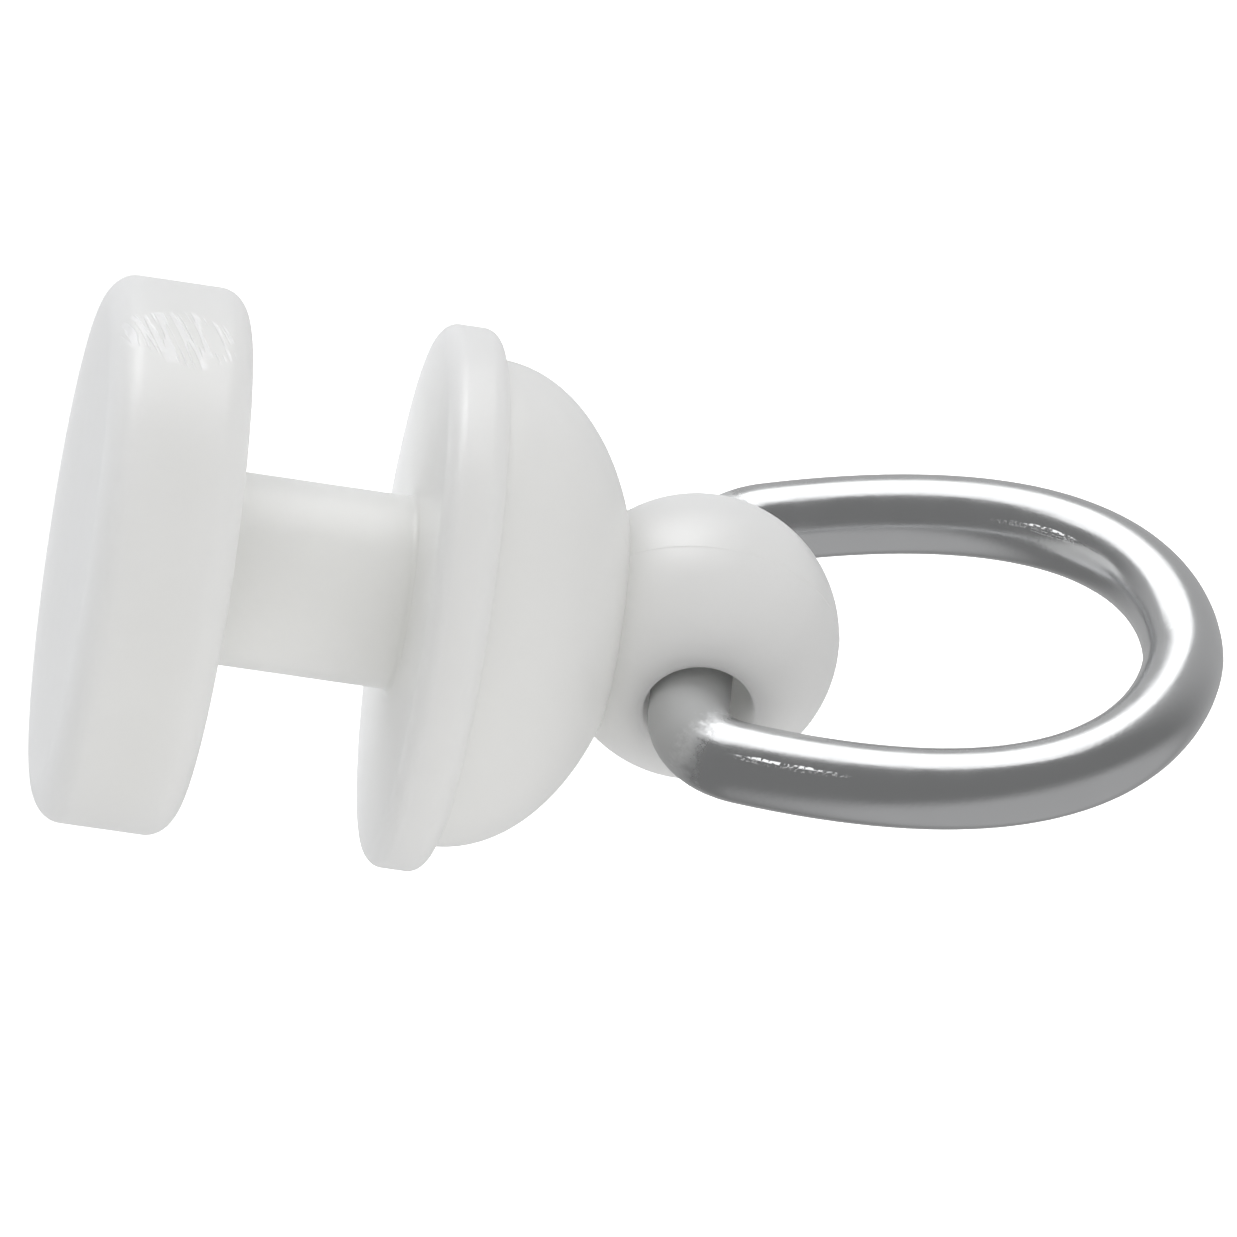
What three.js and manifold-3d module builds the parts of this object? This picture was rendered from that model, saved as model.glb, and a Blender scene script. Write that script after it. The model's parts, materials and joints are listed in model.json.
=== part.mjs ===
// Curtain-track glider: a moulded spool with a bored ball under it, and a wire eye ring that swings in the bore.
// Units are millimetres. +Z runs up the spool's axis, the origin is the centre of the head's top face, and the
// ball's bore lies along X.

import * as THREE from 'three';
import { mergeVertices } from 'three/addons/utils/BufferGeometryUtils.js';
import Module from 'manifold-3d';

// ---- Driving dimensions --------------------------------------------------------------------------------------

const HEAD = {
  radius: 6,
  thickness: 3.12,
  topRound: { across: 0.86, along: 0.66 },
  undersideRound: { across: 0.76, along: 0.64 },
};
const NECK = { radius: 2.12, length: 4.22 };
const FLANGE = {
  radius: 5.97,
  thickness: 1.36,
  topRound: { across: 0.47, along: 0.4 },
  undersideRound: { across: 0.55, along: 0.43 },
};
const DOME = { radius: 5.35, height: 3.62 };
const BALL = { radius: 3.12, centreBelowFlange: 5.15 };
const BORE = { radius: 1.2, mouthRound: 0.1 };

const WIRE = { radius: 0.88, endGap: 0.5 };
const EYE = {
  barHalf: 2.75,          // straight length of wire each side of the bore's middle
  shoulderRadius: 1.73,   // centreline radius of the bend beside the ball
  legSpread: 15.9,        // degrees that each leg leans outward below that bend
  length: 10.6,           // from the bore's axis to the wire's centre at the tip
  legReach: 9.25,         // how far the leg's direction carries down the loop
  tipReach: 0.73,         // how far the tip's crosswise direction carries up the loop
};
const REST = {
  swing: 10.4,            // degrees that the eye hangs off the spool's axis
  skew: 4.66,             // degrees that its bar lies askew in the bore, taking up the play
  shift: 0.115,           // how far it has slid along the bore
};

// ---- Fineness of the facets -----------------------------------------------------------------------------------

const TURN_SEGMENTS = 48;
const CORNER_STEPS = 4;
const DOME_STEPS = 8;
const BALL_STEPS = 11;
const BORE_SEGMENTS = 40;
const MOUTH_STEPS = 3;
const WIRE_SIDES = 16;
const WIRE_STEPS = 108;

// ---- Heights worked out from the driving dimensions --------------------------------------------------------------

const headUnderside = -HEAD.thickness;
const flangeTop = headUnderside - NECK.length;
const flangeUnderside = flangeTop - FLANGE.thickness;
const ballCentre = flangeUnderside - BALL.centreBelowFlange;

const wasm = await Module();
wasm.setup();

function toSolid(geometry) {
  const bare = geometry.clone();
  bare.deleteAttribute('normal');
  bare.deleteAttribute('uv');
  const merged = mergeVertices(bare);
  return new wasm.Manifold(new wasm.Mesh({
    numProp: 3,
    vertProperties: new Float32Array(merged.attributes.position.array),
    triVerts: new Uint32Array(merged.index.array),
  }));
}

function toGeometry(solid) {
  const { vertProperties, triVerts } = solid.getMesh();
  const geometry = new THREE.BufferGeometry();
  geometry.setAttribute('position', new THREE.BufferAttribute(new Float32Array(vertProperties), 3));
  geometry.setIndex(new THREE.BufferAttribute(new Uint32Array(triVerts), 1));
  geometry.computeVertexNormals();
  return geometry;
}

// Points along part of an ellipse in the (radius, height) half-plane. Angles are in degrees, 0 pointing outward and
// 90 up the axis.
function ellipsePoints(centre, across, along, from, to, steps) {
  return Array.from({ length: steps + 1 }, (_, i) => {
    const angle = THREE.MathUtils.degToRad(THREE.MathUtils.lerp(from, to, i / steps));
    const r = centre.x + across * Math.cos(angle);
    return new THREE.Vector2(Math.max(r, 0), centre.y + along * Math.sin(angle));
  });
}

// The rounded corner of a disc's rim: the lower one climbs to the rim, the upper one leaves it.
function lowerCorner(radius, height, { across, along }) {
  const centre = new THREE.Vector2(radius - across, height + along);
  return ellipsePoints(centre, across, along, -90, 0, CORNER_STEPS);
}

function upperCorner(radius, height, { across, along }) {
  const centre = new THREE.Vector2(radius - across, height - along);
  return ellipsePoints(centre, across, along, 0, 90, CORNER_STEPS);
}

// The depth below the flange at which the ball's surface comes out of the dome's.
function valleyDepth() {
  const gap = (depth) => {
    const domeRadius = DOME.radius * Math.sqrt(Math.max(0, 1 - (depth / DOME.height) ** 2));
    const ballRadius = Math.sqrt(Math.max(0, BALL.radius ** 2 - (BALL.centreBelowFlange - depth) ** 2));
    return domeRadius - ballRadius;
  };
  let above = BALL.centreBelowFlange - BALL.radius;
  let below = DOME.height;
  while (below - above > 1e-4) {
    const middle = (above + below) / 2;
    if (gap(middle) > 0) above = middle;
    else below = middle;
  }
  return (above + below) / 2;
}

// The spool's outline, from the ball's lowest point up to the middle of the head's top face.
function spoolOutline() {
  const valley = valleyDepth();
  const ballTop = THREE.MathUtils.radToDeg(Math.asin((BALL.centreBelowFlange - valley) / BALL.radius));
  const domeFoot = THREE.MathUtils.radToDeg(Math.asin(valley / DOME.height));
  const ball = new THREE.Vector2(0, ballCentre);
  const dome = new THREE.Vector2(0, flangeUnderside);
  return [
    ...ellipsePoints(ball, BALL.radius, BALL.radius, -90, ballTop, BALL_STEPS),
    ...ellipsePoints(dome, DOME.radius, DOME.height, -domeFoot, 0, DOME_STEPS).slice(1),
    ...lowerCorner(FLANGE.radius, flangeUnderside, FLANGE.undersideRound),
    ...upperCorner(FLANGE.radius, flangeTop, FLANGE.topRound),
    new THREE.Vector2(NECK.radius, flangeTop),
    new THREE.Vector2(NECK.radius, headUnderside),
    ...lowerCorner(HEAD.radius, headUnderside, HEAD.undersideRound),
    ...upperCorner(HEAD.radius, 0, HEAD.topRound),
    new THREE.Vector2(0, 0),
  ];
}

// One mouth of the bore, as points (radius, distance from the ball's middle): a fillet from the bore's wall out to
// the ball's surface, then a short way on along the tangent there, clear of the ball.
function mouthPoints() {
  const { radius, mouthRound } = BORE;
  const acrossCentre = radius + mouthRound;
  const alongCentre = Math.sqrt((BALL.radius - mouthRound) ** 2 - acrossCentre ** 2);
  const centre = new THREE.Vector2(acrossCentre, alongCentre);
  const meetsBall = THREE.MathUtils.radToDeg(Math.atan2(alongCentre, acrossCentre));
  const fillet = ellipsePoints(centre, mouthRound, mouthRound, 180, meetsBall, MOUTH_STEPS);
  const tangent = new THREE.Vector2(alongCentre, -acrossCentre).setLength(2 * mouthRound);
  return [...fillet, fillet.at(-1).clone().add(tangent)];
}

// The solid that the bore takes out of the ball: a rod with a flared collar at each mouth.
function boreCutter() {
  const reach = 2 * BALL.radius;
  const upper = mouthPoints();
  upper.push(new THREE.Vector2(upper.at(-1).x, reach), new THREE.Vector2(0, reach));
  const lower = upper.map(({ x, y }) => new THREE.Vector2(x, -y)).reverse();
  const cutter = new THREE.LatheGeometry([...lower, ...upper], BORE_SEGMENTS);
  cutter.rotateZ(Math.PI / 2);
  cutter.translate(0, 0, ballCentre);
  return cutter;
}

function gliderBody() {
  const spool = new THREE.LatheGeometry(spoolOutline(), TURN_SEGMENTS);
  spool.rotateX(Math.PI / 2);

  const nylon = new THREE.MeshStandardMaterial({ color: 0xe9e8e2, roughness: 0.42, metalness: 0 });
  const mesh = new THREE.Mesh(toGeometry(toSolid(spool).subtract(toSolid(boreCutter()))), nylon);
  mesh.name = 'glider_body';
  return mesh;
}

// The wire's centreline, drawn flat in XZ with the bore's middle at its origin.
class EyeCentreline extends THREE.Curve {
  constructor(outline) {
    super();
    this.outline = outline;
  }

  getPoint(t, target = new THREE.Vector3()) {
    const { x, y } = this.outline.getPoint(t);
    return target.set(x, 0, y);
  }
}

function eyeOutline() {
  const { barHalf, shoulderRadius, length, legReach, tipReach } = EYE;
  const spread = THREE.MathUtils.degToRad(EYE.legSpread);
  const legTop = new THREE.Vector2(
    barHalf + shoulderRadius * Math.cos(spread),
    shoulderRadius * (Math.sin(spread) - 1),
  );
  const legAim = new THREE.Vector2(Math.sin(spread), -Math.cos(spread)).multiplyScalar(legReach).add(legTop);

  const outline = new THREE.Path();
  outline.moveTo(WIRE.endGap / 2, 0);
  outline.lineTo(barHalf, 0);
  outline.absarc(barHalf, -shoulderRadius, shoulderRadius, Math.PI / 2, spread, true);
  outline.bezierCurveTo(legAim.x, legAim.y, tipReach, -length, 0, -length);
  outline.bezierCurveTo(-tipReach, -length, -legAim.x, legAim.y, -legTop.x, legTop.y);
  outline.absarc(-barHalf, -shoulderRadius, shoulderRadius, Math.PI - spread, Math.PI / 2, true);
  outline.lineTo(-WIRE.endGap / 2, 0);
  return outline;
}

function eyeRing() {
  const section = new THREE.Shape();
  section.absarc(0, 0, WIRE.radius, 0, 2 * Math.PI);

  const wire = new THREE.ExtrudeGeometry(section, {
    steps: WIRE_STEPS,
    curveSegments: WIRE_SIDES / 2,
    extrudePath: new EyeCentreline(eyeOutline()),
  });
  const steel = new THREE.MeshStandardMaterial({ color: 0xb4b6b8, roughness: 0.3, metalness: 1 });
  const mesh = new THREE.Mesh(toGeometry(toSolid(wire)), steel);
  mesh.name = 'eye_ring';
  mesh.position.set(REST.shift, 0, ballCentre);
  mesh.rotation.set(THREE.MathUtils.degToRad(REST.swing), THREE.MathUtils.degToRad(-REST.skew), 0, 'XYZ');
  return mesh;
}

const glider = new THREE.Group();
glider.name = 'curtain_track_glider';
glider.add(gliderBody(), eyeRing());

export default glider;
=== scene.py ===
"""Curtain-track glider: a moulded nylon spool whose bored ball carries a swinging wire eye.

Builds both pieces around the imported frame, with their finishes, a pale stage, soft studio light and a camera.
"""

import json
import math

import bpy
from mathutils import Matrix, Vector


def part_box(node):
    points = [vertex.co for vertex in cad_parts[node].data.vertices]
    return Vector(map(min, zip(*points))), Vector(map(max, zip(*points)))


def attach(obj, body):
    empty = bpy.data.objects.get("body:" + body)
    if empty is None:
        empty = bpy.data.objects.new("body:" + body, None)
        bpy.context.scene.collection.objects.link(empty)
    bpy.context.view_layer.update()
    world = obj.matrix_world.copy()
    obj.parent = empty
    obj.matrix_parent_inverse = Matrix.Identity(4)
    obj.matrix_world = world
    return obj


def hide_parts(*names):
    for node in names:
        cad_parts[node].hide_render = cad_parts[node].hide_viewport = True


bl_info = {
    "name": "Curtain-track glider",
    "version": (1, 0, 0),
    "blender": (4, 5, 0),
    "location": "3D View > Sidebar > Glider",
    "description": "Moulds a curtain-track glider's nylon body, bends its wire eye and sets its stage",
    "category": "Add Mesh",
}

MM = 0.001
MERGE = 1e-7

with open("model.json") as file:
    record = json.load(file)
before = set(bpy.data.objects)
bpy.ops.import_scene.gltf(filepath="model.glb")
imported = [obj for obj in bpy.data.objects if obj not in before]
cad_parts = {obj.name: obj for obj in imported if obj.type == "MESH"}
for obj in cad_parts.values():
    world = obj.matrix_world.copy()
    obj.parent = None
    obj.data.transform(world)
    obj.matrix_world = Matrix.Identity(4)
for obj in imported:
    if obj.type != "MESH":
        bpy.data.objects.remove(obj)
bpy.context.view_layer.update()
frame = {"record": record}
BODY_LOW, BODY_HIGH = (Vector(corner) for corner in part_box("glider_body"))
BORE_MIDDLE = Vector((0, 0, frame["record"]["behaviour"]["joints"][0]["pos_m"][2]))


# ---- What a user would change ----------------------------------------------------------------------------


def length(name, description, default_mm):
    return bpy.props.FloatProperty(
        name=name, description=description, default=default_mm * MM, min=0, unit="LENGTH", precision=5
    )


def angle(name, description, default_degrees):
    return bpy.props.FloatProperty(
        name=name, description=description, default=math.radians(default_degrees), subtype="ANGLE"
    )


def colour(name, description, default):
    return bpy.props.StringProperty(name=name, description=description + ", as sRGB hex", default=default)


class GliderBodySizes(bpy.types.PropertyGroup):
    """Sizes and colours of the moulded body."""

    head_radius: length("Head radius", "Radius of the head that runs in the track", BODY_HIGH.x / MM)
    head_thickness: length("Head thickness", "Height of the head along the axis", 3.12)
    neck_radius: length("Neck radius", "Radius of the neck that passes the track's slot", 2.12)
    neck_length: length("Neck length", "Height of the groove that takes the track's lips", 4.22)
    flange_radius: length("Flange radius", "Radius of the flange under the track's lips", 5.97)
    flange_thickness: length("Flange thickness", "Height of the flange along the axis", 1.36)
    dome_radius: length("Dome radius", "Radius of the dome where it leaves the flange", 5.35)
    dome_height: length("Dome height", "How far the dome would reach below the flange", 3.62)
    ball_radius: length("Ball radius", "Radius of the bored ball", (BORE_MIDDLE.z - BODY_LOW.z) / MM)
    bore_radius: length("Bore radius", "Radius of the hole through the ball", 1.2)
    mouth_round: length("Mouth rounding", "Radius of the rounding at each mouth of the bore", 0.1)
    parting_azimuth: angle("Parting azimuth", "Turn of the mould's parting plane about the axis", 74.7)
    nylon: colour("Nylon", "Colour of the natural nylon", "F2F2F1")
    # this whiter tone is partly the whiter nylon of real rubbing and partly a painted highlight for the light
    # the scuff strokes catch
    nylon_scuff_and_sheen: colour("Scuffed nylon", "Whiter tone where the head's rim is rubbed", "FFFFFF")
    nylon_shade: colour("Nylon in its shaded clouds", "Faintly warmer tone that clouds the nylon", "EFEFED")


class WireEyeSizes(bpy.types.PropertyGroup):
    """Sizes, place and colours of the wire eye."""

    wire_radius: length("Wire radius", "Radius of the drawn wire", 0.88)
    end_gap: length("End gap", "Gap between the wire's cut ends inside the bore", 0.5)
    bar_half: length("Half bar", "Straight wire each side of the bore's middle", 2.75)
    shoulder_radius: length("Shoulder radius", "Centreline radius of the bend beside the ball", 1.73)
    leg_spread: angle("Leg spread", "How far each leg leans outward below the shoulder", 15.9)
    eye_length: length("Eye length", "From the bore's axis to the wire's centre at the tip", 10.6)
    leg_reach: length("Leg reach", "How far the leg's direction carries down the loop", 9.25)
    tip_reach: length("Tip reach", "How far the tip's crosswise direction carries up the loop", 0.73)
    swing: angle("Swing", "Angle that the eye hangs off the spool's axis", 10.4)
    skew: angle("Skew", "Angle that the bar lies askew in the bore", 4.66)
    shift: length("Shift", "How far the eye has slid along the bore", 0.115)
    zinc: colour("Zinc", "Colour of the bright zinc plating", "D3D4D5")
    zinc_dull: colour("Dull zinc", "Colour of the plating where the bending tool pressed it", "C3C4C4")


class StageSettings(bpy.types.PropertyGroup):
    """The floor, the light and the view."""

    view_azimuth: angle("View azimuth", "Turn of the camera about the glider's axis, from +X", 35.756)
    view_elevation: angle("View elevation", "Height of the camera above the level", 7.059)
    view_roll: angle("View roll", "Turn of the camera about its own line of sight", -81.7)
    view_distance: length("View distance", "From the camera to the point it looks at", 350)
    lens_mm: bpy.props.FloatProperty(name="Lens", description="Focal length in millimetres", default=470.28)
    floor_drop: length("Floor drop", "How far the floor lies under the origin", 60)
    floor_white: colour("Floor", "Colour of the pale floor", "F4F4F2")


# ---- Modelling by hand, in code --------------------------------------------------------------------------


def only(obj):
    """Makes obj the one selected and active object."""
    bpy.ops.object.select_all(action="DESELECT")
    obj.select_set(True)
    bpy.context.view_layer.objects.active = obj


def edit(mode):
    bpy.ops.object.mode_set(mode="EDIT")
    bpy.ops.mesh.select_mode(type=mode)


def done():
    bpy.ops.object.mode_set(mode="OBJECT")


def select_points(obj, test):
    """In edit mode, selects exactly the vertices whose place passes the test."""
    bpy.ops.mesh.select_all(action="DESELECT")
    done()
    for vertex in obj.data.vertices:
        vertex.select = test(vertex.co)
    edit("VERT")


def arc(centre, across, along, start, end, steps):
    """Points (radius, height) on part of an ellipse; degrees, 0 outward and 90 up the axis."""
    points = []
    for i in range(steps + 1):
        turn = math.radians(start + (end - start) * i / steps)
        points.append((max(centre[0] + across * math.cos(turn), 0), centre[1] + along * math.sin(turn)))
    return points


def straight(start, end, margin=0.06 * MM):
    """Two points that hold a straight run flat up to the roundings at its ends."""
    run = Vector(end) - Vector(start)
    inset = run.normalized() * min(margin, run.length / 3)
    return [tuple(Vector(start) + inset), tuple(Vector(end) - inset)]


def lathe(name, outline, axis, steps):
    """Draws the outline (distance from the axis, height along it) and spins it about the axis."""
    across = Vector((1, 0, 0)) if axis.z else Vector((0, 0, 1))
    places = [across * r + axis * h for r, h in outline]
    bpy.ops.mesh.primitive_plane_add(size=MM, location=places[0])
    obj = bpy.context.object
    obj.name = obj.data.name = name
    bpy.ops.object.transform_apply(location=True, rotation=False, scale=False)
    edit("VERT")
    bpy.ops.mesh.select_all(action="SELECT")
    bpy.ops.mesh.merge(type="CENTER")
    for here, there in zip(places, places[1:]):
        bpy.ops.mesh.extrude_region_move(TRANSFORM_OT_translate={"value": there - here})
    bpy.ops.mesh.select_all(action="SELECT")
    bpy.ops.mesh.spin(steps=steps, angle=2 * math.pi, center=(0, 0, 0), axis=axis)
    bpy.ops.mesh.select_all(action="SELECT")
    bpy.ops.mesh.remove_doubles(threshold=MERGE)
    bpy.ops.mesh.normals_make_consistent(inside=False)
    done()
    return obj


# ---- The moulded body ------------------------------------------------------------------------------------

HEAD_TOP_ROUND = (0.86 * MM, 0.66 * MM)
HEAD_UNDER_ROUND = (0.76 * MM, 0.64 * MM)
FLANGE_TOP_ROUND = (0.47 * MM, 0.40 * MM)
FLANGE_UNDER_ROUND = (0.55 * MM, 0.43 * MM)
NECK_FILLET = 0.12 * MM
FLASH_HEIGHT = 0.009 * MM
FLASH_SPREAD = math.radians(0.5)
FLASH_TOP = 2.4 * MM
SPOOL_STEPS = 240
BORE_STEPS = 96


def valley_depth(s, drop):
    """How far below the flange the ball's surface comes out of the dome's."""
    above, below = drop - s.ball_radius, s.dome_height
    for _ in range(40):
        depth = (above + below) / 2
        dome = s.dome_radius * math.sqrt(1 - (depth / s.dome_height) ** 2)
        ball = math.sqrt(s.ball_radius**2 - (drop - depth) ** 2)
        above, below = (depth, below) if dome > ball else (above, depth)
    return depth


def spool_outline(s):
    """From the ball's lowest point over dome, flange, neck and head to the middle of the head's top."""
    head_under = -s.head_thickness
    flange_top = head_under - s.neck_length
    flange_under = flange_top - s.flange_thickness
    drop = flange_under - BORE_MIDDLE.z
    valley = valley_depth(s, drop)
    foot = s.flange_radius - FLANGE_UNDER_ROUND[0] - s.dome_radius

    ball = arc((0, BORE_MIDDLE.z), s.ball_radius, s.ball_radius, -90,
               math.degrees(math.asin((drop - valley) / s.ball_radius)), 60)
    dome = arc((0, flange_under), s.dome_radius, s.dome_height,
               -math.degrees(math.asin(valley / s.dome_height)),
               -math.degrees(math.asin(foot / s.dome_height)), 40)
    dome_fillet = arc((s.dome_radius + foot, flange_under - foot), foot, foot, 180, 90, 5)

    def corner(radius, height, rounding, lower):
        across, along = rounding
        centre = (radius - across, height + along if lower else height - along)
        return arc(centre, across, along, -90 if lower else 0, 0 if lower else 90, 12)

    flange = (corner(s.flange_radius, flange_under, FLANGE_UNDER_ROUND, lower=True)
              + corner(s.flange_radius, flange_top, FLANGE_TOP_ROUND, lower=False))
    neck_centre = s.neck_radius + NECK_FILLET
    neck_foot = arc((neck_centre, flange_top + NECK_FILLET), NECK_FILLET, NECK_FILLET, -90, -180, 6)
    neck_top = arc((neck_centre, head_under - NECK_FILLET), NECK_FILLET, NECK_FILLET, 180, 90, 6)
    head_lower = corner(s.head_radius, head_under, HEAD_UNDER_ROUND, lower=True)
    head_upper = corner(s.head_radius, 0, HEAD_TOP_ROUND, lower=False)

    return [
        *ball, *dome[1:], *dome_fillet[1:], *flange[1:],
        *straight(flange[-1], neck_foot[0]), *neck_foot,
        *straight(neck_foot[-1], neck_top[0]), *neck_top,
        *straight(neck_top[-1], head_lower[0]), *head_lower,
        *straight(head_lower[-1], head_upper[0]), *head_upper,
        *straight(head_upper[-1], (0, 0))[:1], (0, 0),
    ]


def bore_cutter(s):
    """The core pin that leaves the bore: a rod that flares out along a fillet at each mouth."""
    across = s.bore_radius + s.mouth_round
    along = math.sqrt((s.ball_radius - s.mouth_round) ** 2 - across**2)
    fillet = arc((across, along), s.mouth_round, s.mouth_round, 180,
                 math.degrees(math.atan2(along, across)), 8)
    tangent = Vector((along, -across)).normalized() * 2 * s.mouth_round
    brim = tuple(Vector(fillet[-1]) + tangent)
    mouth = [*fillet, brim, (brim[0], 2 * s.ball_radius), (0, 2 * s.ball_radius)]
    outline = [(r, -h) for r, h in reversed(mouth)] + mouth
    pin = lathe("core_pin", outline, Vector((1, 0, 0)), BORE_STEPS)
    pin.location = BORE_MIDDLE
    return pin


def raise_flash(body):
    """Crowds the columns to the mould's parting plane (Y = 0 here) and lifts the flash on the ball."""
    step = 2 * math.pi / SPOOL_STEPS
    edit("VERT")
    for column, side in ((1, 1), (1, -1), (2, 1), (2, -1)):
        here = side * column * step
        there = side * column * FLASH_SPREAD
        select_points(body, lambda p: abs(p.x) > MERGE and abs(math.atan(p.y / p.x) - here) < step / 8)
        bpy.ops.transform.rotate(
            value=here - there, orient_axis="Z", orient_type="GLOBAL", center_override=(0, 0, 0)
        )
    select_points(body, lambda p: abs(p.y) < MERGE and abs(p.x) > MERGE and p.z < BORE_MIDDLE.z + FLASH_TOP)
    bpy.ops.transform.shrink_fatten(value=FLASH_HEIGHT)
    done()


class GLIDER_OT_mould_body(bpy.types.Operator):
    """Moulds the nylon body: spins its outline, raises the parting flash and cores out the bore"""

    bl_idname = "glider.mould_body"
    bl_label = "Mould the body"

    def execute(self, context):
        s = context.scene.glider_body
        body = lathe("moulded_body", spool_outline(s), Vector((0, 0, 1)), SPOOL_STEPS)
        raise_flash(body)
        body.rotation_euler.z = s.parting_azimuth
        only(body)
        bpy.ops.object.transform_apply(location=False, rotation=True, scale=False)

        pin = bore_cutter(s)
        only(body)
        cut = body.modifiers.new("bore", "BOOLEAN")
        cut.operation, cut.solver, cut.object = "DIFFERENCE", "EXACT", pin
        bpy.ops.object.modifier_apply(modifier=cut.name)
        bpy.data.objects.remove(pin)
        bpy.ops.object.shade_smooth_by_angle(angle=math.radians(32))

        body.data.materials.clear()
        body.data.materials.append(moulded_natural_nylon(s))
        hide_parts("glider_body")
        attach(body, "glider")
        return {"FINISHED"}


# ---- The wire eye ----------------------------------------------------------------------------------------

WIRE_SIDES = 40
BAR_STEPS = 6
SHOULDER_STEPS = 18
LEG_STEPS = 56
PRESSED_TO = math.radians(90)


def eye_stations(s):
    """Places (x, z) and headings along the wire, from one cut end round the tip to the other."""
    half = [(s.end_gap / 2 + (s.bar_half - s.end_gap / 2) * i / BAR_STEPS, 0, 0) for i in range(BAR_STEPS)]
    turned = math.pi / 2 - s.leg_spread
    for i in range(SHOULDER_STEPS):
        h = turned * i / SHOULDER_STEPS
        half.append((
            s.bar_half + s.shoulder_radius * math.sin(h), s.shoulder_radius * (math.cos(h) - 1), h,
        ))
    top = Vector((
        s.bar_half + s.shoulder_radius * math.sin(turned), s.shoulder_radius * (math.cos(turned) - 1),
    ))
    aim = top + Vector((math.cos(turned), -math.sin(turned))) * s.leg_reach
    near_tip, tip = Vector((s.tip_reach, -s.eye_length)), Vector((0, -s.eye_length))
    for i in range(LEG_STEPS + 1):
        t = i / LEG_STEPS
        u = 1 - t
        place = u**3 * top + 3 * u * u * t * aim + 3 * u * t * t * near_tip + t**3 * tip
        along = u * u * (aim - top) + 2 * u * t * (near_tip - aim) + t * t * (tip - near_tip)
        half.append((place.x, place.y, math.atan2(-along.y, along.x) % (2 * math.pi)))
    return half + [(-x, z, 2 * math.pi - h) for x, z, h in reversed(half[:-1])]


def form_wire(s):
    """Carries one round section of wire from station to station, turning it with the wire's heading."""
    stations = eye_stations(s)
    x, z, _ = stations[0]
    bpy.ops.mesh.primitive_circle_add(
        vertices=WIRE_SIDES, radius=s.wire_radius, fill_type="NGON", location=(x, 0, z),
        rotation=(0, math.pi / 2, 0),
    )
    eye = bpy.context.object
    eye.name = eye.data.name = "wire_ring"
    bpy.ops.object.transform_apply(location=True, rotation=True, scale=False)
    edit("FACE")
    bpy.ops.mesh.select_all(action="SELECT")
    for (x0, z0, h0), (x1, z1, h1) in zip(stations, stations[1:]):
        bpy.ops.mesh.extrude_region_move(TRANSFORM_OT_translate={"value": (x1 - x0, 0, z1 - z0)})
        bpy.ops.transform.rotate(
            value=h0 - h1, orient_axis="Y", orient_type="GLOBAL", center_override=(x1, 0, z1)
        )
    bpy.ops.mesh.select_all(action="SELECT")
    bpy.ops.mesh.remove_doubles(threshold=MERGE)
    bpy.ops.mesh.normals_make_consistent(inside=False)
    done()
    mark_drawn_wire(eye, stations)
    return eye


def mark_drawn_wire(eye, stations):
    """Stores where each point lay on the straight wire, and how hard the bending tool pressed there."""
    travelled = [0.0]
    for (x0, z0, _), (x1, z1, _) in zip(stations, stations[1:]):
        travelled.append(travelled[-1] + math.hypot(x1 - x0, z1 - z0))
    eye.data.attributes.new("drawn_wire", "FLOAT_VECTOR", "POINT")
    eye.data.attributes.new("pressed", "FLOAT", "POINT")
    marks = eye.data.attributes
    for vertex, mark, press in zip(eye.data.vertices, marks["drawn_wire"].data, marks["pressed"].data):
        p = vertex.co
        nearest = min(
            range(len(stations)),
            key=lambda i: (p.x - stations[i][0]) ** 2 + (p.z - stations[i][1]) ** 2,
        )
        x, z, h = stations[nearest]
        outward = (p.x - x) * math.sin(h) + (p.z - z) * math.cos(h)
        mark.vector = (travelled[nearest] - travelled[-1] / 2, p.y, outward)
        turned = min(h, 2 * math.pi - h)
        press.value = max(0, 1 - turned / PRESSED_TO)


class GLIDER_OT_bend_eye(bpy.types.Operator):
    """Bends the plated wire into the eye and threads it through the ball"""

    bl_idname = "glider.bend_eye"
    bl_label = "Bend the eye"

    def execute(self, context):
        s = context.scene.glider_eye
        eye = form_wire(s)
        only(eye)
        eye.matrix_world = (
            Matrix.Translation(BORE_MIDDLE + Vector((s.shift, 0, 0)))
            @ Matrix.Rotation(s.swing, 4, "X")
            @ Matrix.Rotation(-s.skew, 4, "Y")
        )
        bpy.ops.object.transform_apply(location=True, rotation=True, scale=False)
        bpy.ops.object.shade_smooth_by_angle(angle=math.radians(40))

        eye.data.materials.clear()
        eye.data.materials.append(zinc_plated_drawn_steel(s))
        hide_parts("eye_ring")
        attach(eye, "eye")
        return {"FINISHED"}


# ---- Finishes --------------------------------------------------------------------------------------------


SKIN_DEPTH = 0.002 * MM
LIGHT_CREEP = 2.2 * MM
NYLON_IOR = 1.53
SCUFF_ROUGHENS = 0.12
SCUFF_CENTRE = Vector((0.15, 6, -1.45)) * MM
SCUFF_REACH = Vector((0.95, 0.8, 1.2)) * MM
SCUFF_SLANT = math.radians(-18.6)
SCUFF_DEPTH = -0.018 * MM
LINE_DEPTH = 0.0008 * MM
GRAIN_DEPTH = 0.002 * MM
BURR_NEAR_BEND = Vector((-11.1, 0.62, 0.62)) * MM
BURR_FAR_LEG = Vector((5.7, 0.52, -0.71)) * MM
BURR_REACH = Vector((1.4, 0.085, 0.085)) * MM
BURR_HEIGHT = 0.035 * MM
PRESS_ROUGHENS = 0.55
PRESS_DULLS_METAL = -0.5


def linear(hex_colour):
    """An sRGB hex colour as linear red, green, blue and full alpha."""
    channels = [int(hex_colour[i:i + 2], 16) / 255 for i in (0, 2, 4)]
    return (*[c / 12.92 if c <= 0.04045 else ((c + 0.055) / 1.055) ** 2.4 for c in channels], 1)


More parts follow.
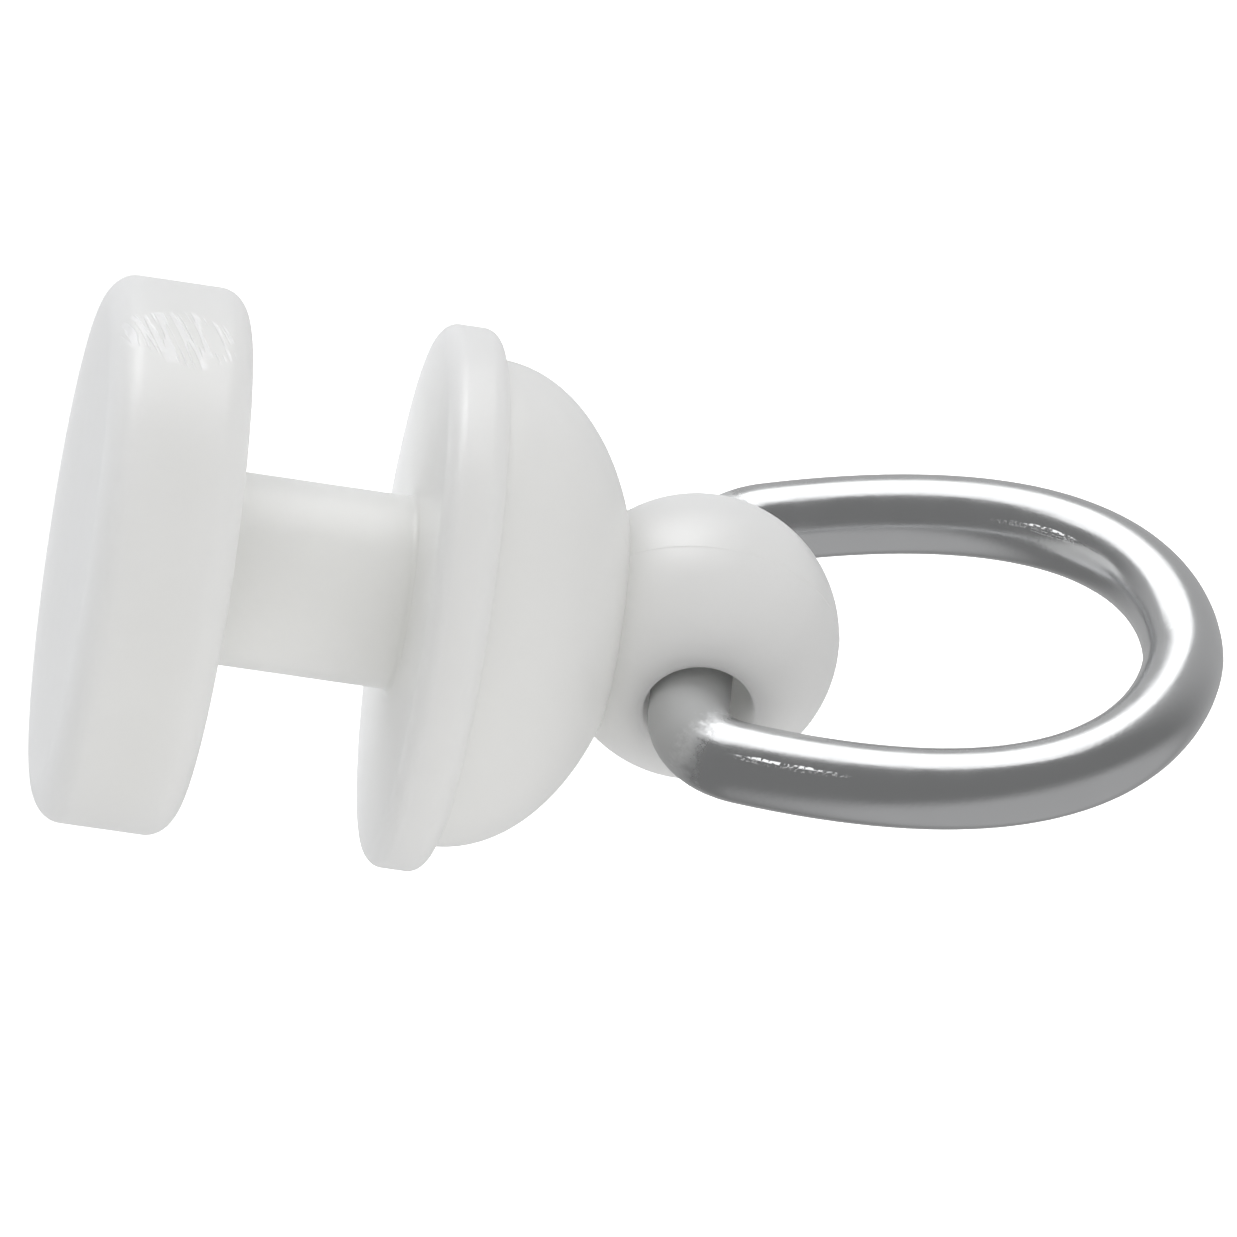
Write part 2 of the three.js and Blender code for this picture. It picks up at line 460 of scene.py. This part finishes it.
def add(tree, kind, inputs=None, **settings):
    """Adds a node with its settings; each input is a value, or an output that is linked to it."""
    node = tree.nodes.new(kind)
    for name, value in settings.items():
        setattr(node, name, value)
    for socket, value in (inputs or {}).items():
        if isinstance(value, bpy.types.NodeSocket):
            tree.links.new(value, node.inputs[socket])
        else:
            node.inputs[socket].default_value = value
    return node


def new_material(name):
    """A material with an empty Principled surface: (material, its tree, the shader)."""
    material = bpy.data.materials.new(name)
    material.use_nodes = True
    tree = material.node_tree
    return material, tree, tree.nodes["Principled BSDF"]


def patch(tree, place, centre, reach, ragged, soft):
    """How far a point lies inside an egg-shaped patch, 1 deep inside to 0 outside, with a ragged edge."""
    offset = add(tree, "ShaderNodeVectorMath", {0: place, 1: centre}, operation="SUBTRACT")
    scaled = add(tree, "ShaderNodeVectorMath", {0: offset.outputs[0], 1: reach}, operation="DIVIDE")
    distance = add(tree, "ShaderNodeVectorMath", {0: scaled.outputs[0]}, operation="LENGTH")
    edge = add(tree, "ShaderNodeTexNoise", {"Vector": place, "Scale": 1 / ragged, "Detail": 1.0})
    torn = add(tree, "ShaderNodeMath", {
        0: distance.outputs["Value"], 1: edge.outputs["Fac"],
    }, operation="ADD")
    return add(tree, "ShaderNodeMapRange", {
        "Value": torn.outputs[0], "From Min": 1.6, "From Max": 1.6 - soft,
    }, interpolation_type="SMOOTHSTEP").outputs["Result"]


def moulded_natural_nylon(s):
    """Natural nylon 6, injection moulded: milky and slightly clear, so light creeps under its satin skin."""
    material, tree, shader = new_material("moulded_natural_nylon")
    place = add(tree, "ShaderNodeTexCoord").outputs["Object"]

    # the melt clouds as it sets, over about 5 mm
    clouds = add(tree, "ShaderNodeTexNoise", {"Vector": place, "Scale": 1 / (5 * MM), "Detail": 2.0})
    # the mould's spark-eroded skin: its real grit of 0.03 mm is drawn at 0.2 mm so that it shows
    skin = add(tree, "ShaderNodeTexNoise", {"Vector": place, "Scale": 1 / (0.2 * MM), "Detail": 2.0})
    # wear: the skin is rubbed smoother in places about 1 mm across
    wear = add(tree, "ShaderNodeTexNoise", {"Vector": place, "Scale": 1 / (1 * MM), "Detail": 2.0})

    # scuffs on the head's rim, where the track's lip drags: strokes about 0.1 mm wide and 1.5 mm long
    slanted = add(tree, "ShaderNodeMapping", {"Vector": place, "Rotation": (0, SCUFF_SLANT, 0)})
    slanted = add(tree, "ShaderNodeMapping", {
        "Vector": slanted.outputs[0], "Scale": (1 / (1.5 * MM), 1 / (5 * MM), 1 / (0.11 * MM)),
    })
    strokes = add(tree, "ShaderNodeTexNoise", {"Vector": slanted.outputs[0], "Scale": 1.0, "Detail": 1.0})
    stroke = add(tree, "ShaderNodeMapRange", {
        "Value": strokes.outputs["Fac"], "From Min": 0.47, "From Max": 0.56,
    }, interpolation_type="SMOOTHSTEP").outputs["Result"]
    scuffed = patch(tree, place, SCUFF_CENTRE, SCUFF_REACH, 0.5 * MM, soft=0.3)
    scuff_and_sheen = add(tree, "ShaderNodeMath", {0: scuffed, 1: stroke}, operation="MULTIPLY").outputs[0]

    tone = add(tree, "ShaderNodeMix", {
        "Factor": clouds.outputs["Fac"], "A": linear(s.nylon), "B": linear(s.nylon_shade),
    }, data_type="RGBA")
    # the strokes are mixed to a whiter tone: partly real rubbed nylon, partly a painted highlight for the light
    # the strokes catch
    rubbed = add(tree, "ShaderNodeMix", {
        "Factor": scuff_and_sheen, "A": tone.outputs[2], "B": linear(s.nylon_scuff_and_sheen),
    }, data_type="RGBA")
    tree.links.new(rubbed.outputs[2], shader.inputs["Base Color"])

    rough = add(tree, "ShaderNodeMapRange", {
        "Value": wear.outputs["Fac"], "From Min": 0.3, "From Max": 0.7, "To Min": 0.3, "To Max": 0.38,
    }).outputs["Result"]
    rough = add(tree, "ShaderNodeMath", {0: scuff_and_sheen, 1: SCUFF_ROUGHENS, 2: rough}, operation="MULTIPLY_ADD")
    tree.links.new(rough.outputs[0], shader.inputs["Roughness"])

    height = add(tree, "ShaderNodeMath", {0: skin.outputs["Fac"], 1: SKIN_DEPTH}, operation="MULTIPLY")
    height = add(tree, "ShaderNodeMath", {
        0: scuff_and_sheen, 1: SCUFF_DEPTH, 2: height.outputs[0],
    }, operation="MULTIPLY_ADD")
    relief = add(tree, "ShaderNodeBump", {"Height": height.outputs[0], "Strength": 1.0, "Distance": 1.0})
    tree.links.new(relief.outputs["Normal"], shader.inputs["Normal"])

    # the strokes' torn edges throw back more light than smooth skin
    torn = add(tree, "ShaderNodeMath", {0: scuff_and_sheen, 1: 0.5, 2: 0.5}, operation="MULTIPLY_ADD")
    tree.links.new(torn.outputs[0], shader.inputs["Specular IOR Level"])
    shader.inputs["IOR"].default_value = NYLON_IOR
    shader.inputs["Subsurface Weight"].default_value = 1.0
    shader.inputs["Subsurface Radius"].default_value = (1.0, 1.0, 1.0)
    shader.inputs["Subsurface Scale"].default_value = LIGHT_CREEP
    return material


def zinc_plated_drawn_steel(s):
    """Drawn steel wire, bright zinc plated: a clear mirror broken by fine lines along the draw."""
    material, tree, shader = new_material("zinc_plated_drawn_steel")
    drawn = add(tree, "ShaderNodeAttribute", attribute_name="drawn_wire").outputs["Vector"]
    pressed = add(tree, "ShaderNodeAttribute", attribute_name="pressed").outputs["Fac"]

    # the die's lines: 0.01 mm apart on the real wire, drawn at 0.05 mm so that they show
    stretched = add(tree, "ShaderNodeMapping", {
        "Vector": drawn, "Scale": (1 / (6 * MM), 1 / (0.05 * MM), 1 / (0.05 * MM)),
    })
    lines = add(tree, "ShaderNodeTexNoise", {"Vector": stretched.outputs[0], "Scale": 1.0, "Detail": 2.0})
    # the plating's own grain, 0.1 mm across, and its slow waves, 0.7 mm across
    grain = add(tree, "ShaderNodeTexNoise", {"Vector": drawn, "Scale": 1 / (0.1 * MM), "Detail": 3.0})
    waves = add(tree, "ShaderNodeTexNoise", {"Vector": drawn, "Scale": 1 / (0.7 * MM), "Detail": 1.0})
    # where the bending tool pressed: dulled, with a ragged edge
    ragged = add(tree, "ShaderNodeMath", {
        0: grain.outputs["Fac"], 1: 0.3, 2: pressed,
    }, operation="MULTIPLY_ADD")
    dulled = add(tree, "ShaderNodeMapRange", {
        "Value": ragged.outputs[0], "From Min": 0.5, "From Max": 0.75,
    }, interpolation_type="SMOOTHSTEP").outputs["Result"]

    # burrs that catch the light: a nicked line down each leg, broken every 0.1 mm
    nicks = add(tree, "ShaderNodeMapRange", {
        "Value": grain.outputs["Fac"], "From Min": 0.42, "From Max": 0.52,
    }, interpolation_type="SMOOTHSTEP").outputs["Result"]
    near_burr = patch(tree, drawn, BURR_NEAR_BEND, BURR_REACH, 0.6 * MM, soft=1.0)
    far_burr = patch(tree, drawn, BURR_FAR_LEG, BURR_REACH, 0.6 * MM, soft=1.0)
    burr = add(tree, "ShaderNodeMath", {0: near_burr, 1: far_burr}, operation="ADD")
    burr = add(tree, "ShaderNodeMath", {0: burr.outputs[0], 1: nicks}, operation="MULTIPLY").outputs[0]

    tone = add(tree, "ShaderNodeMix", {
        "Factor": dulled, "A": linear(s.zinc), "B": linear(s.zinc_dull),
    }, data_type="RGBA")
    tree.links.new(tone.outputs[2], shader.inputs["Base Color"])

    rough = add(tree, "ShaderNodeMapRange", {
        "Value": waves.outputs["Fac"], "From Min": 0.3, "From Max": 0.7, "To Min": 0.2, "To Max": 0.26,
    }).outputs["Result"]
    rough = add(tree, "ShaderNodeMath", {0: dulled, 1: PRESS_ROUGHENS, 2: rough}, operation="MULTIPLY_ADD")
    tree.links.new(rough.outputs[0], shader.inputs["Roughness"])

    height = add(tree, "ShaderNodeMath", {0: lines.outputs["Fac"], 1: LINE_DEPTH}, operation="MULTIPLY")
    for raised, depth in ((grain.outputs["Fac"], GRAIN_DEPTH), (burr, BURR_HEIGHT)):
        height = add(tree, "ShaderNodeMath", {
            0: raised, 1: depth, 2: height.outputs[0],
        }, operation="MULTIPLY_ADD")
    relief = add(tree, "ShaderNodeBump", {"Height": height.outputs[0], "Strength": 1.0, "Distance": 1.0})
    tree.links.new(relief.outputs["Normal"], shader.inputs["Normal"])

    # pressed zinc is crushed to a chalky grey, half of it no longer mirror-like metal
    mirror = add(tree, "ShaderNodeMath", {0: dulled, 1: PRESS_DULLS_METAL, 2: 1.0}, operation="MULTIPLY_ADD")
    tree.links.new(mirror.outputs[0], shader.inputs["Metallic"])
    return material


def pale_floor(s):
    """Opal acrylic sheet lit from below: an even pale ground with no hard shadow."""
    material, _, shader = new_material("opal_acrylic_lit_from_below")
    shader.inputs["Base Color"].default_value = linear(s.floor_white)
    shader.inputs["Roughness"].default_value = 0.8
    shader.inputs["Emission Color"].default_value = linear(s.floor_white)
    shader.inputs["Emission Strength"].default_value = 1.0
    return material


# ---- The stage -------------------------------------------------------------------------------------------

AIM = Vector((1.12, 0.973, -11.927)) * MM
WALL_FRONT = 0.23
WALL_BELOW = 0.5
WALL_BEHIND = 0.5
LIGHT_DISTANCE = 0.5
WHITE = (1, 1, 1)
WARM = (1.0, 0.995, 0.975)
COOL = (0.97, 0.99, 1.03)


def view_axes(s):
    """The camera's right, up and back directions."""
    az, el = s.view_azimuth, s.view_elevation
    back = Vector((math.cos(el) * math.cos(az), math.cos(el) * math.sin(az), math.sin(el)))
    level = Vector((-math.sin(az), math.cos(az), 0))
    upright = back.cross(level)
    right = math.cos(s.view_roll) * level + math.sin(s.view_roll) * upright
    return right, back.cross(right), back


def aim_direction(axes, longitude, latitude):
    """A direction: longitude turns right from the camera, latitude lifts to the view's top."""
    right, up, back = axes
    level = back * math.cos(longitude) + right * math.sin(longitude)
    return level * math.cos(latitude) + up * math.sin(latitude)


def softbox(name, direction, size, radiance, tint, seen_in_gloss):
    """A square soft light on the glider: it shows only in gloss, or else it lights only matt surfaces."""
    facing = direction.to_track_quat("Z", "Y").to_euler()
    bpy.ops.object.light_add(type="AREA", location=AIM + direction * LIGHT_DISTANCE, rotation=facing)
    light = bpy.context.object
    light.name = name
    light.data.shape = "SQUARE"
    light.data.size = size
    light.data.energy = radiance * math.pi * size**2
    light.data.color = tint
    light.visible_camera = False
    light.visible_glossy = seen_in_gloss
    light.visible_diffuse = not seen_in_gloss
    return light


def studio_surround(context, axes):
    """Grey walls, lighter behind and below, so that round wire shows bands; the camera sees plain white."""
    world = bpy.data.worlds.new("studio")
    context.scene.world = world
    world.use_nodes = True
    tree = world.node_tree
    right, up, back = axes
    direction = add(tree, "ShaderNodeTexCoord").outputs["Generated"]

    def ramp(axis, low, high, at_low, at_high):
        along = add(tree, "ShaderNodeVectorMath", {0: direction, 1: axis}, operation="DOT_PRODUCT")
        return add(tree, "ShaderNodeMapRange", {
            "Value": along.outputs["Value"], "From Min": low, "From Max": high,
            "To Min": at_low, "To Max": at_high,
        }, interpolation_type="SMOOTHSTEP").outputs["Result"]

    behind = ramp(0.6 * up - 0.8 * back, 0.1, 0.74, 0, WALL_BEHIND - WALL_FRONT)
    below = ramp(0.5 * right - 0.85 * up, 0.42, 0.74, 0, WALL_BELOW - WALL_FRONT)
    walls = add(tree, "ShaderNodeMath", {0: behind, 1: below}, operation="MAXIMUM").outputs["Value"]
    level = add(tree, "ShaderNodeMath", {0: walls, 1: WALL_FRONT}, operation="ADD").outputs["Value"]
    seen = add(tree, "ShaderNodeLightPath")
    shown = add(tree, "ShaderNodeMix", {
        "Factor": seen.outputs["Is Camera Ray"], "A": level, "B": 1.0,
    }, data_type="FLOAT")
    background = tree.nodes["Background"]
    tree.links.new(shown.outputs[0], background.inputs["Strength"])
    background.inputs["Color"].default_value = (1, 1, 1, 1)


class GLIDER_OT_set_stage(bpy.types.Operator):
    """Lays the pale floor and sets the soft lights and the camera"""

    bl_idname = "glider.set_stage"
    bl_label = "Set the stage"

    def execute(self, context):
        s = context.scene.glider_stage
        axes = view_axes(s)
        right, up, back = axes

        bpy.ops.mesh.primitive_plane_add(size=4, location=(0, 0, -s.floor_drop))
        floor = context.object
        floor.name = "floor"
        floor.data.materials.append(pale_floor(s))
        floor.visible_glossy = False
        floor.visible_diffuse = False

        studio_surround(context, axes)
        overhead = aim_direction(axes, math.radians(-60), math.radians(83))
        softbox("ceiling_shine", overhead, 0.54, 1.3, WHITE, seen_in_gloss=True)
        softbox("ceiling_shine_middle", overhead, 0.22, 4.5, WHITE, seen_in_gloss=True)
        # another program solved for most of these radiances by least squares; they were then rounded, and
        # some were changed.
        for name, longitude, latitude, size, radiance, tint in (
            ("front_light", 10, -10, 0.9, 0.4, WARM),
            ("upper_front_light", 0, 45, 0.7, 0.64, WHITE),
            ("upper_back_light", 180, 45, 0.8, 0.54, COOL),
            ("upper_left_light", -100, 40, 0.7, 0.3, COOL),
            ("upper_right_light", 100, 40, 0.7, 0.25, WHITE),
            ("right_light", 75, -10, 0.7, 0.28, WHITE),
            ("back_left_light", -130, 0, 0.8, 0.9, COOL),
            ("behind_light", 180, 0, 1.0, 0.75, COOL),
            ("below_light", 0, -80, 0.7, 0.6, WARM),
        ):
            direction = aim_direction(axes, math.radians(longitude), math.radians(latitude))
            softbox(name, direction, size, radiance, tint, seen_in_gloss=False)

        pose = Matrix((right, up, back)).transposed().to_euler()
        bpy.ops.object.camera_add(location=AIM + back * s.view_distance, rotation=pose)
        camera = context.object
        camera.data.lens = s.lens_mm
        camera.data.sensor_width = 36
        camera.data.clip_start, camera.data.clip_end = 0.01, 20
        context.scene.camera = camera
        context.scene.view_settings.view_transform = "Standard"
        return {"FINISHED"}


class GLIDER_PT_panel(bpy.types.Panel):
    """The glider's steps, in order"""

    bl_label = "Curtain-track glider"
    bl_idname = "GLIDER_PT_panel"
    bl_space_type = "VIEW_3D"
    bl_region_type = "UI"
    bl_category = "Glider"

    def draw(self, context):
        for step in (GLIDER_OT_mould_body, GLIDER_OT_bend_eye, GLIDER_OT_set_stage):
            self.layout.operator(step.bl_idname)
        for group in (context.scene.glider_body, context.scene.glider_eye, context.scene.glider_stage):
            box = self.layout.box()
            for name in group.bl_rna.properties.keys():
                if name not in {"rna_type", "name"}:
                    box.prop(group, name)


CLASSES = (
    GliderBodySizes, WireEyeSizes, StageSettings,
    GLIDER_OT_mould_body, GLIDER_OT_bend_eye, GLIDER_OT_set_stage, GLIDER_PT_panel,
)


def register():
    for cls in CLASSES:
        bpy.utils.register_class(cls)
    bpy.types.Scene.glider_body = bpy.props.PointerProperty(type=GliderBodySizes)
    bpy.types.Scene.glider_eye = bpy.props.PointerProperty(type=WireEyeSizes)
    bpy.types.Scene.glider_stage = bpy.props.PointerProperty(type=StageSettings)


def unregister():
    del bpy.types.Scene.glider_body, bpy.types.Scene.glider_eye, bpy.types.Scene.glider_stage
    for cls in reversed(CLASSES):
        bpy.utils.unregister_class(cls)


def main():
    register()
    bpy.ops.object.select_all(action="DESELECT")
    bpy.ops.glider.mould_body()
    bpy.ops.glider.bend_eye()
    bpy.ops.glider.set_stage()


if __name__ == "__main__":
    main()
